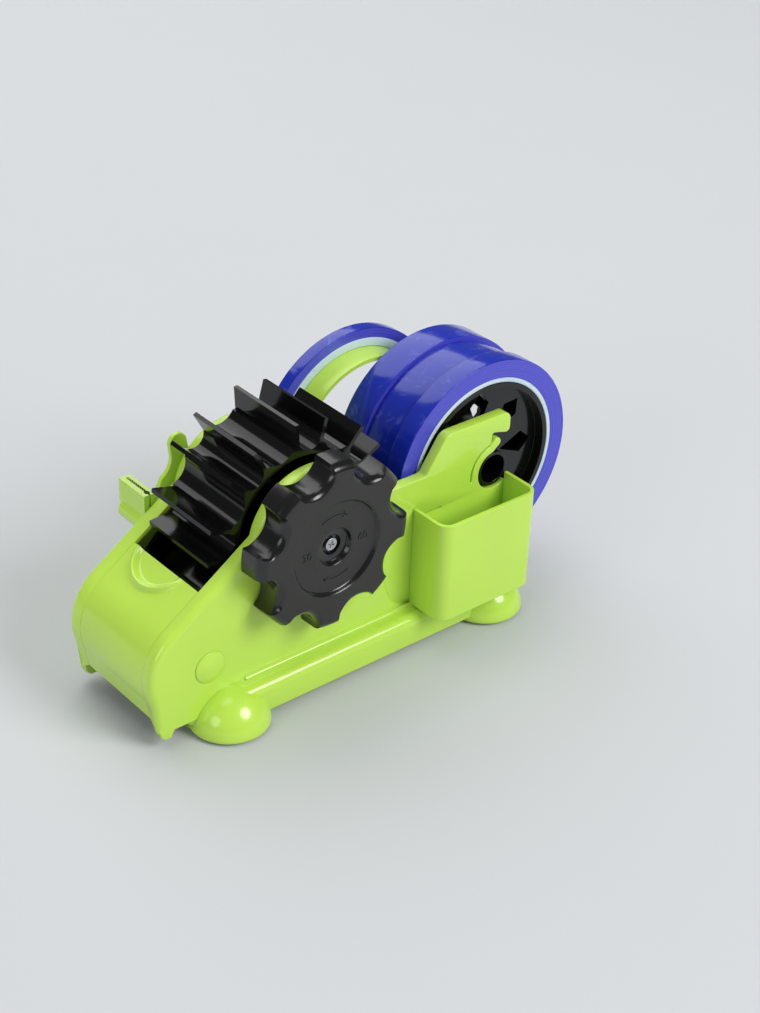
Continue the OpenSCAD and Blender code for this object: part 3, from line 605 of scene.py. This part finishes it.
def build_shell(context, side):
    """One side shell: skin with its long rounded edge and flange, cheek wall, hook plate and foot lug. The hook
    plate on the knob side has a slot."""
    s = context.scene.dispenser_shells
    y, w = mm(s.shell_y), mm(s.wall)
    near = side < 0
    f = mm(s.slot_near) if near else mm(s.slot_far)
    neck = arc(0, 0, NECK_R, 0, 352.5, 47)
    boss = arc(ROTOR[0], ROTOR[2], CAP_HOLE, 0, 345, 23)
    skin = body(skin_rings(s, f), [soft_slab(neck, y, y - w, 0, 1), soft_slab(boss, y, y - w, 0, 1)])
    outline = arc(0, 0, mm(s.cheek_r) - 1.2, -17, 197, 80)
    cheek = body(soft_slab(outline, f + 0.02, f + 1.5, 0, 1), [soft_slab(neck, f + 0.02, f + 1.5, 0, 1)])
    slot = np.concatenate([arc(61.2, -13.8, 0.45, 90, 270, 6), arc(69.4, -13.8, 0.45, -90, 90, 6)])
    out, inner = y - PLATE_OUT, y - PLATE_IN
    plate = body(soft_slab(hook_outline(), out, inner, 0.45, 3),
                 [soft_slab(slot, out, inner, -0.2, 2)] if near else [])
    x = nose_centre(s)[0] - mm(s.nose_r) * NOSE_FOOT_SHARE
    lug = np.array([[x + 0.2, NOSE_FOOT + 2], [x + 1.4, NOSE_FOOT - 2.4], [x + 3.6, NOSE_FOOT - 4],
                    [x + 6, NOSE_FOOT - 3.8], [x + 9, NOSE_FOOT + 2]])
    lugs = body(soft_slab(lug, y - 4.5, y - 0.15, 0.6, 3))
    node = "side_shell_near" if near else "side_shell_far"
    piece(node + "_moulding", [skin, cheek, plate, lugs], "frame", [finish("green")], (node,),
          mirrored=near)


# ---------------------------------------------------------------- nose cover

def nose_surface(s):
    """The cover's outer face on a grid: one parameter runs along the nose from its foot to the slot, the other
    across. A bead of half-cosine section stands round the thumb dish, and the dish sinks inside it."""
    drop, gap = 0.12, 0.07
    bead_r, bead_half, bead_high = 15, 2.3, 1.7
    dish_r, dish_edge = 14.6, 2.6
    beyond, across = 3.2, 2.5  # the dish's centre: past the slot's front end, and off the middle
    fade_from, fade_over = -82, 26  # degrees round the dish at which the bead rises out of the face
    path = top_path(s, drop)[:60]
    path[0] += (0, FOOT_LIFT[0])
    path[1] += (0, FOOT_LIFT[1])
    seg = np.hypot(*np.diff(path, axis=0).T)
    dist = np.concatenate([[0], np.cumsum(seg)])
    cut = np.interp(-mm(s.slot_front), path[30:46, 0], dist[30:46])
    u = np.linspace(0, cut, 240)
    x, z = np.interp(u, dist, path[:, 0]), np.interp(u, dist, path[:, 1])
    dx, dz = np.gradient(x, u), np.gradient(z, u)
    v = np.linspace(gap - mm(s.slot_near), mm(s.slot_far) - gap, 130)
    away = (cut - u)[:, None] + beyond
    side = v[None, :] - across
    r = np.hypot(away, side)
    fade = ease(np.clip((np.degrees(np.arctan2(side, away)) - fade_from) / fade_over, 0, 1))
    wave = 0.5 + 0.5 * np.cos((r - bead_r) / bead_half * math.pi)
    bead = np.where(abs(r - bead_r) < bead_half, wave, 0) * bead_high * fade
    h = bead - ease(np.clip((dish_r - r) / dish_edge, 0, 1))
    px = x[:, None] - dz[:, None] * h
    pz = z[:, None] + dx[:, None] * h
    return np.stack([px, np.broadcast_to(v, px.shape), pz], -1)


def build_nose(context):
    """The nose cover: its outer face and the same face moved inwards by a wall along its normals, as rings."""
    s = context.scene.dispenser_shells
    outer = nose_surface(s)
    d = np.gradient(outer, axis=0)
    n = np.stack([-d[..., 2], np.zeros(d.shape[:2]), d[..., 0]], -1)
    n /= np.linalg.norm(n, axis=-1, keepdims=True)
    rings = np.concatenate([outer, (outer - mm(s.wall) * n)[:, ::-1]], 1)
    piece("nose_cover_moulding", [body(rings)], "frame", [finish("green")], ("nose_cover",))


# ---------------------------------------------------------------- base

def build_base(context):
    """The base tray: two rails with a rounded section, four hollow domes, the floor and its end walls."""
    floor, top, y, wall = -71.4, LEDGE - 0.02, 29.6, 2
    front_x, rear_x, corner_r = -58, 110, 4  # centres of the floor's corners
    rail = np.concatenate([[[26.9, floor], [26.9, top], [31.9, top]], arc(33.6, -61.6, 4.4, 96, 0, 14),
                           arc(37.4, floor + 0.6, 0.6, 0, -90, 4)])
    fillet = np.concatenate([[[30.03, -55.2]], arc(32.0, -55.15, 1.85, 180, 270, 8),
                             [[32.0, top - 0.3], [30.03, top - 0.3]]])
    dome = np.concatenate([[[0.02, -56.5]], arc(0, DOME_Z, DOME_R, 88, 6, 26),
                           arc(16.0, DOME_Z + 1.4, 1.4, 0, -90, 5),
                           [[14.9, DOME_Z], [14.4, -72], [13.4, -66], [0.02, -64]]])
    bodies = []
    for side in (-1, 1):
        bodies.append(body(soft_slab(rail * (side, 1), DOME_X, REAR_X, 0, 1, "X")))
        bodies.append(body(soft_slab(fillet * (side, 1), -35.5, 56.5, 0.05, 1, "X")))
        for x in (DOME_X, REAR_X):
            bodies.append(body(turned(dome, x, side * 30.0, 96, "Z"), caps=False))
        ledge = np.array([[96, 26.2], [113.9, 26.2], [113.9, y], [96, y]]) * (1, side)
        bodies.append(body(soft_slab(ledge, LEDGE - 2, top, 0.3, 2, "Z")))

    def bend(x, r, low, high):
        """Quarter circles at both corners of one end: the angles of the low side, then of the high side."""
        return arc(x, corner_r - y, r, *low, 6), arc(x, y - corner_r, r, *high, 6)

    front_out = bend(front_x, corner_r, (180, 270), (90, 180))
    rear_out = bend(rear_x, corner_r, (270, 360), (0, 90))
    plate = np.concatenate([front_out[0], *rear_out, front_out[1]])
    bodies.append(body(soft_slab(plate, floor, floor + 2, 0.4, 2, "Z")))
    ends = ((-43, front_x, (270, 180), (180, 90), NOSE_FOOT - 0.1), (96, rear_x, (270, 360), (0, 90), top))
    for x, centre_x, low, high, upper in ends:
        inner = bend(centre_x, corner_r - wall, low[::-1], high[::-1])
        outline = np.concatenate([[[x, -y]], *bend(centre_x, corner_r, low, high), [[x, y]],
                                  [[x, y - wall]], inner[1], inner[0], [[x, wall - y]]])
        bodies.append(body(soft_slab(outline, floor, upper, 0.3, 2, "Z")))
    piece("base_tray_moulding", bodies, "frame", [finish("green")], ("base_tray",))


def build_caps(context):
    """The round caps: a shallow dome over a rim rounded by 0.6, on the rotor's axis on both sides, and a wider
    flat one over the drum's axis on the far side."""
    rim, seat, lip = 0.6, 30.06, 30.65
    for node, x, z, r, high, near in (("boss_cap_near", ROTOR[0], ROTOR[2], 7.2, 1.9, True),
                                      ("boss_cap_far", ROTOR[0], ROTOR[2], 7.2, 1.9, False),
                                      ("shaft_cap", 0, 0, 13, 1.4, False)):
        a = np.linspace(0, 1, 12)[1:]
        crown = np.stack([(r - rim) * (1 - a), lip + (high - rim) * (1 - (1 - a) ** 2.4)], 1)
        profile = np.concatenate([[[0.02, seat], [r - 0.1, seat]], arc(r - rim, lip - 0.5, rim, 0, 60, 4), crown])
        profile[-1, 0] = 0.02
        piece(node + "_dome", [body(turned(profile, x, z, 64), caps=False)], "frame",
              [finish("green")], (node,), mirrored=near)


# ---------------------------------------------------------------- knob

def soft_min(a, b, k):
    """The smaller of a and b, with the corner between them rounded over a width of k."""
    h = np.clip(0.5 + 0.5 * (b - a) / k, 0, 1)
    return b + (a - b) * h - k * h * (1 - h)


def lobed(k, theta):
    """Radius of the knob at each angle: the tip circle, cut by a circle centred outside it between two lobes. On
    a ray at angle f from the flute's middle, the cut is at c cos f minus the root of r squared less (c sin f)
    squared."""
    turn, blend_width, clear, never = math.radians(4.5), 7, 6, 99
    tip, r, d = mm(k.tip_r), mm(k.flute_r), mm(k.flute_d)
    c = tip - d + r
    pitch = 2 * math.pi / k.lobes
    f = (theta + turn) % pitch - pitch / 2
    under = r * r - (c * np.sin(f)) ** 2
    cut = np.where(under > 0, c * np.cos(f) - np.sqrt(np.maximum(under, 0)), never)
    return soft_min(np.minimum(cut, tip + clear), np.full_like(cut, tip), blend_width)


def build_knob(context):
    """The knob: rings of points from the neck over the lobes to the dish and the screw's well. Flat faces are
    satin and the rest is smooth, but the well's flat floor gets the darker smooth finish as painted shade."""
    k = context.scene.dispenser_knob
    gap, neck, draft, back_r, painted_shade_well_r = 0.8, 10.4, 0.25, 1.2, 8.7
    theta = np.linspace(0, 2 * math.pi, 720, endpoint=False)
    one = np.ones(len(theta))
    outline = lobed(k, theta)
    depth, tip = mm(k.flute_d), mm(k.tip_r)
    share = np.clip((outline - (tip - depth)) / depth, 0, 1)
    fillet = mm(k.flute_fillet) + (mm(k.tip_fillet) - mm(k.flute_fillet)) * share
    back = -mm(context.scene.dispenser_shells.shell_y) - gap
    face = back - mm(k.thick)
    rings = [(4.2 * one, (back + 2.6) * one), ((neck - 0.3) * one, (back + 2.6) * one),
             (neck * one, (back + 2.3) * one), (neck * one, back * one), (outline - 1.4, back * one)]
    for t in np.radians(np.linspace(15, 90, 5)):
        rings.append((outline - back_r * (1 - math.sin(t)), (back - back_r * (1 - math.cos(t))) * one))
    for h in np.linspace(0.1, 1, 8):
        rings.append((outline - draft * h, back - back_r + (face + fillet - back + back_r) * h))
    for t in np.radians(np.linspace(9, 90, 10)):
        rings.append((outline - draft - fillet * (1 - math.cos(t)), face + fillet * (1 - math.sin(t))))
    rim, dish, deep = rings[-1][0], mm(k.dish_r), mm(k.dish_d)
    rings += [(rim - 0.3, face * one), ((dish + 1.2) * 0.85 + rim * 0.15, face * one)]
    rings += [((dish + 0.7 - 1.9 * a) * one, (face + deep * ease(a)) * one) for a in np.linspace(0, 1, 9)]
    well = [(12, deep), (8.9, deep), (8.6, deep + 0.06), (8.3, deep + 0.4), (8.0, 3.5), (7.6, 3.9), (5.0, 4.0),
            (4.6, 4.2), (4.5, 5.9), (2.9, 6.05)]
    rings += [(r * one, (face + h) * one) for r, h in well]
    pts = np.array([np.stack([r * np.cos(theta), y, r * np.sin(theta)], 1) for r, y in rings])

    def pick(c, v):
        r = np.hypot(c[:, 0], c[:, 2])
        # flat faces inside the screw's well get the darker smooth finish: painted shade in the recess
        return np.where((v[:, 1] < -0.93) & (r < tip) & (r > painted_shade_well_r), 0, 1)

    piece("knob_moulding", [body(pts)], "drum", [finish("charcoal"), finish("knob_side")],
          ("knob",), pick=pick)
    build_marks(context, face + deep)


def stroke(line, width, y, rise):
    """A raised bar along a line in X and Z: the line moved half the width to each side along its normal, lifted
    by rise, with sloping flanks."""
    p = np.asarray(line, float)
    d = np.gradient(p, axis=0)
    d /= np.hypot(*d.T)[:, None]
    half = np.stack([-d[:, 1], d[:, 0]], 1) * width / 2
    foot, sunk = 1.25, 0.05
    cols = [p + half * foot, p + half, p - half, p - half * foot]
    ys = [y + sunk, y - rise, y - rise, y + sunk]
    return body(np.stack([placed(c, h) for c, h in zip(cols, ys)], 1))


def build_marks(context, y):
    """Two curved arrows and two numbers, raised on the knob's dish."""
    k = context.scene.dispenser_knob
    ring_r, width, rise, head, number_x, number_high = 14.6, 0.5, 0.25, 2.4, 14.2, 5
    bodies = []
    for start, stop in ((118, 68), (-62, -112)):
        line = arc(0, 0, ring_r, start, stop, 24)
        bodies.append(stroke(line, width, y, rise))
        for lean in (150, 210):
            a = math.radians(stop - 90) + math.radians(lean)
            barb = line[-1] + head * np.array([math.cos(a), math.sin(a)])
            bodies.append(stroke(np.array([line[-1], barb]), width, y, rise))
    piece("knob_arrows", bodies, "drum", [finish("knob_side")], sharp=20)
    for label, x, words in (("left", -number_x, k.left_mark), ("right", number_x, k.right_mark)):
        curve = bpy.data.curves.new("number", "FONT")
        curve.body = words
        curve.size = number_high / MM
        curve.align_x, curve.align_y = "CENTER", "CENTER"
        curve.extrude = rise / MM
        holder = bpy.data.objects.new("number", curve)
        bpy.context.scene.collection.objects.link(holder)
        bpy.context.view_layer.update()
        flat = bpy.data.meshes.new_from_object(holder)
        bpy.data.objects.remove(holder)
        bm = bmesh.new()
        bm.from_mesh(flat)
        bmesh.ops.remove_doubles(bm, verts=bm.verts, dist=CAD_MERGE)
        bmesh.ops.recalc_face_normals(bm, faces=bm.faces)
        bm.to_mesh(flat)
        bm.free()
        flat.materials.clear()
        flat.transform(Matrix.Translation(Vector(AXIS) + Vector((x / MM, y / MM, 0)))
                       @ Matrix.Rotation(math.pi / 2, 4, "X"))
        finished("knob_number_" + label, flat, "drum", [finish("knob_side")], sharp=20)


# ---------------------------------------------------------------- tape rolls

def node_width(node):
    """Both faces of a CAD node along the drum's axis, in millimetres."""
    low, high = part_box(node)
    return (low[1] - AXIS[1]) * MM, (high[1] - AXIS[1]) * MM


def roll_profile(r_in, r_out, y0, y1, pitch, seed):
    """Section of a wound roll: flat bore, and two sides whose layer edges stand in by random amounts, eased at
    the rim by a quarter circle."""
    rough, rim, bore_edge = 0.07, 0.4, 0.1
    rng = np.random.default_rng(seed)
    n = int((r_out - r_in - 0.6) / pitch)
    r = np.linspace(r_in + bore_edge, r_out - 0.45, n)
    left, right = y0 + rough * rng.random(n), y1 - rough * rng.random(n)
    a = np.linspace(0, math.pi / 2, 5)[1:]
    across, along = r_out - rim + rim * np.sin(a), rim - rim * np.cos(a)
    return np.concatenate([[[r_in, y0 + bore_edge]], np.stack([r, left], 1), np.stack([across, y0 + along], 1),
                           np.stack([across, y1 - along], 1)[::-1], np.stack([r, right], 1)[::-1],
                           [[r_in, y1 - bore_edge]]])


def build_roll(context, node, rides, axis, r_out, wall, seed):
    """A roll of tape between the faces of its CAD node. The outer turn thins towards the loose end of the film,
    which stands as a step."""
    rolls = context.scene.dispenser_rolls
    seam, step, reach, ramp = 0.02, 0.12, 0.5, 0.4
    r_in = mm(rolls.core_in) + wall + seam
    profile = roll_profile(r_in, r_out, *node_width(node), mm(rolls.layer), seed)
    rings = turned(profile, axis[0], axis[2], 240)
    turn = 2 * math.pi
    t = (np.arctan2(rings[..., 2] - axis[2], rings[..., 0] - axis[0]) + seed) % turn / turn
    r = np.hypot(rings[..., 0] - axis[0], rings[..., 2] - axis[2])
    outer = np.clip((r - r_out + reach) / ramp, 0, 1) * (step * t)
    for i in (0, 2):
        rings[..., i] -= (rings[..., i] - axis[i]) / r * outer
    base = tuple(context.scene.dispenser_colours.tape)
    # the face's lilac lighter tone is painted sheen, laid in random patches
    faces = [wound_film(node + "_film_face", base, linear("#6f78dc"), axis),
             wound_film(node + "_film_edge", linear("#2b34b8"), linear("#5a55cf"), axis, mm(rolls.layer))]
    piece(node + "_wound", [body(rings, caps=False)], rides, faces, (node,), sharp=50,
          pick=lambda c, v: np.where(abs(v[:, 1]) > 0.8, 1, 0))


def build_core(context, node, rides, axis, wall):
    """A core: a tube with rounded rims, standing as wide as its CAD node."""
    y0, y1 = node_width(node)
    r0 = mm(context.scene.dispenser_rolls.core_in)
    rim = 0.4
    a = np.linspace(0, math.pi / 2, 5)

    def corner(r, y, out, up, t):
        """Quarter circle at a corner of the section, on the side that out and up point to."""
        return np.stack([r + out * rim * (np.sin(t) - 1), y + up * rim * (np.cos(t) - 1)], 1)

    profile = np.concatenate([corner(r0 + wall, y1, 1, 1, a), corner(r0 + wall, y0, 1, -1, a[::-1]),
                              corner(r0, y0, -1, -1, a), corner(r0, y1, -1, 1, a[::-1])])
    piece(node + "_tube", [body(turned(profile, axis[0], axis[2], 200), caps=False)], rides,
          [finish("core")], (node,), sharp=50)


# ---------------------------------------------------------------- stage

def area(name, place, size, power):
    """A round softbox aimed at the middle of the object."""
    light = bpy.data.lights.new(name, "AREA")
    light.shape = "DISK"
    light.size = size
    light.energy = power
    obj = bpy.data.objects.new(name, light)
    obj.location = place
    obj.rotation_euler = (Vector((0, 0, 0.05)) - Vector(place)).to_track_quat("-Z", "Y").to_euler()
    bpy.context.scene.collection.objects.link(obj)


def build_stage(context):
    """Pale floor, soft lights and the camera."""
    material, tree, place = blank("backdrop_paper_matt")
    # seamless paper: matt, with clouds of tone too faint to read as a pattern
    base = tuple(context.scene.dispenser_colours.floor)
    tone = blend(tree, noise(tree, place, 120, 2.0), base, [c * 0.99 for c in base])
    shade(tree, {"Roughness": 0.9, "Specular IOR Level": 0.2}, {"Base Color": tone})
    half = 6
    mesh = bpy.data.meshes.new("floor")
    mesh.from_pydata([(-half, -half, 0), (half, -half, 0), (half, half, 0), (-half, half, 0)], [], [(0, 1, 2, 3)])
    mesh.materials.append(material)
    floor = bpy.data.objects.new("floor", mesh)
    context.scene.collection.objects.link(floor)
    area("key_softbox", (1.0, -2.3, 1.9), 1.6, 60)
    area("back_softbox", (0.3, 1.35, 1.6), 2.2, 20)
    area("top_softbox", (-0.3, 0.3, 3.0), 1.8, 12)
    area("left_softbox", (-2.6, -0.6, 1.2), 1.4, 12)
    world = bpy.data.worlds.new("studio")
    context.scene.world = world
    world.use_nodes = True
    sky = world.node_tree
    sky.nodes["Background"].inputs["Color"].default_value = (0.85, 0.87, 0.89, 1)
    # black flags all round: the room lights everything evenly, but mirrors as a dim surround
    kind = add(sky, "ShaderNodeLightPath")
    level = add(sky, "ShaderNodeMapRange", {"To Min": 0.5, "To Max": 0.15},
                {"Value": kind.outputs["Is Glossy Ray"]})
    sky.links.new(level.outputs["Result"], sky.nodes["Background"].inputs["Strength"])
    camera = bpy.data.cameras.new("camera")
    camera.sensor_width = 36
    camera.lens = 68.07
    camera.clip_start = 0.01
    eye = bpy.data.objects.new("camera", camera)
    context.scene.collection.objects.link(eye)
    ahead = Vector((0.55762, 0.64334, -0.52457))
    right = Vector((0.76925, -0.63798, 0.03529))
    up = Vector((0.31196, 0.42320, 0.85064))
    drum_axis = Vector((-0.03354978514, 0.0001, 0.075))
    at = drum_axis + Vector((-0.40715, -0.53847, 0.41502))
    eye.matrix_world = Matrix(((right.x, up.x, -ahead.x, at.x), (right.y, up.y, -ahead.y, at.y),
                               (right.z, up.z, -ahead.z, at.z), (0, 0, 0, 1)))
    context.scene.camera = eye
    context.scene.view_settings.view_transform = "Standard"


# ---------------------------------------------------------------- operators

SOFT_NODES = {
    "pen_box": (0.5, "green", "green_abs"),
    "side_ring": (0.4, "green", "green_abs"),
    "side_cutter": (0.5, "green", "green_abs"),
    "side_guide": (0.5, "green", "green_abs"),
    "drum_wheel": (0.4, "black", "black_abs"),
    "hub_near": (0.3, "black", "black_abs"),
    "hub_far": (0.3, "black", "black_abs"),
    "spool_axle": (0.3, "black", "black_abs"),
    "knob_screw": (0.15, "steel", "steel"),
}
PLAIN_NODES = {
    "rear_tie": "green", "chassis": "black", "rotor_body": "black",
    "drum_bushes": "acetal", "rotor_bushes": "acetal", "foot_cups": "rubber",
    "drum_shaft": "steel", "drum_pin": "steel", "rotor_shaft": "steel", "shaft_clip": "steel",
    "base_screws": "steel", "ring_screws": "steel", "cutter_blades": "blade", "side_blade": "blade",
}


class DISPENSER_OT_stage(bpy.types.Operator):
    """Adds the floor, the lights and the camera"""
    bl_idname = "dispenser.stage"
    bl_label = "Stage"

    def execute(self, context):
        build_stage(context)
        return {"FINISHED"}


class DISPENSER_OT_shells(bpy.types.Operator):
    """Builds both green side shells"""
    bl_idname = "dispenser.shells"
    bl_label = "Side shells"

    def execute(self, context):
        build_shell(context, -1)
        build_shell(context, 1)
        return {"FINISHED"}


class DISPENSER_OT_nose(bpy.types.Operator):
    """Builds the nose cover with its thumb dish"""
    bl_idname = "dispenser.nose"
    bl_label = "Nose cover"

    def execute(self, context):
        build_nose(context)
        return {"FINISHED"}


class DISPENSER_OT_base(bpy.types.Operator):
    """Builds the base tray with its rails and domed feet"""
    bl_idname = "dispenser.base"
    bl_label = "Base tray"

    def execute(self, context):
        build_base(context)
        return {"FINISHED"}


class DISPENSER_OT_caps(bpy.types.Operator):
    """Builds the round caps over the ends of the shafts"""
    bl_idname = "dispenser.caps"
    bl_label = "Shaft caps"

    def execute(self, context):
        build_caps(context)
        return {"FINISHED"}


class DISPENSER_OT_knob(bpy.types.Operator):
    """Builds the hand knob and its marks"""
    bl_idname = "dispenser.knob"
    bl_label = "Knob"

    def execute(self, context):
        build_knob(context)
        return {"FINISHED"}


class DISPENSER_OT_rolls(bpy.types.Operator):
    """Builds the rolls of tape and their cores"""
    bl_idname = "dispenser.rolls"
    bl_label = "Tape rolls"

    def execute(self, context):
        rolls = context.scene.dispenser_rolls
        wall = mm(rolls.core_t)
        build_roll(context, "tape_near", "spool", SPOOL, mm(rolls.full_r), wall, 1)
        build_roll(context, "tape_mid", "spool", SPOOL, mm(rolls.mid_r), wall, 2)
        build_roll(context, "tape_far", "spool", SPOOL, mm(rolls.full_r) - 0.3, wall, 3)
        for node in ("core_near", "core_mid", "core_far"):
            build_core(context, node, "spool", SPOOL, wall)
        build_roll(context, "side_tape", "side_roll", SIDE, mm(rolls.side_r), mm(rolls.side_core_t), 4)
        build_core(context, "side_core", "side_roll", SIDE, mm(rolls.side_core_t))
        return {"FINISHED"}


class DISPENSER_OT_mouldings(bpy.types.Operator):
    """Builds the other mouldings with rounded edges"""
    bl_idname = "dispenser.mouldings"
    bl_label = "Small mouldings"

    def execute(self, context):
        for node, (width, key, slot) in SOFT_NODES.items():
            softened(node, width, finish(key))
        return {"FINISHED"}


class DISPENSER_OT_inner_parts(bpy.types.Operator):
    """Gives the parts inside their finishes"""
    bl_idname = "dispenser.inner_parts"
    bl_label = "Inner parts"

    def execute(self, context):
        for node, key in PLAIN_NODES.items():
            mesh = NODES[node].data
            mesh.materials.clear()
            mesh.materials.append(finish(key))
        return {"FINISHED"}


STEPS = (DISPENSER_OT_stage, DISPENSER_OT_shells, DISPENSER_OT_nose, DISPENSER_OT_base, DISPENSER_OT_caps,
         DISPENSER_OT_knob, DISPENSER_OT_rolls, DISPENSER_OT_mouldings, DISPENSER_OT_inner_parts)


class DISPENSER_PT_panel(bpy.types.Panel):
    """Lists the steps that build the dispenser"""
    bl_label = "Tape dispenser"
    bl_idname = "DISPENSER_PT_panel"
    bl_space_type = "VIEW_3D"
    bl_region_type = "UI"
    bl_category = "Tape dispenser"

    def draw(self, context):
        for step in STEPS:
            self.layout.operator(step.bl_idname)
        for name, group in GROUPS:
            box = self.layout.box()
            for prop in group.__annotations__:
                box.prop(getattr(context.scene, "dispenser_" + name), prop)


def register():
    """Makes the size groups, the steps and the panel known."""
    for name, group in GROUPS:
        bpy.utils.register_class(group)
        setattr(bpy.types.Scene, "dispenser_" + name, PointerProperty(type=group))
    for step in STEPS:
        bpy.utils.register_class(step)
    bpy.utils.register_class(DISPENSER_PT_panel)


def unregister():
    """Takes them away in the opposite order."""
    bpy.utils.unregister_class(DISPENSER_PT_panel)
    for step in reversed(STEPS):
        bpy.utils.unregister_class(step)
    for name, group in reversed(GROUPS):
        delattr(bpy.types.Scene, "dispenser_" + name)
        bpy.utils.unregister_class(group)


def main():
    """Builds everything."""
    register()
    for step in STEPS:
        getattr(bpy.ops.dispenser, step.bl_idname.split(".")[1])()


if __name__ == "__main__":
    main()
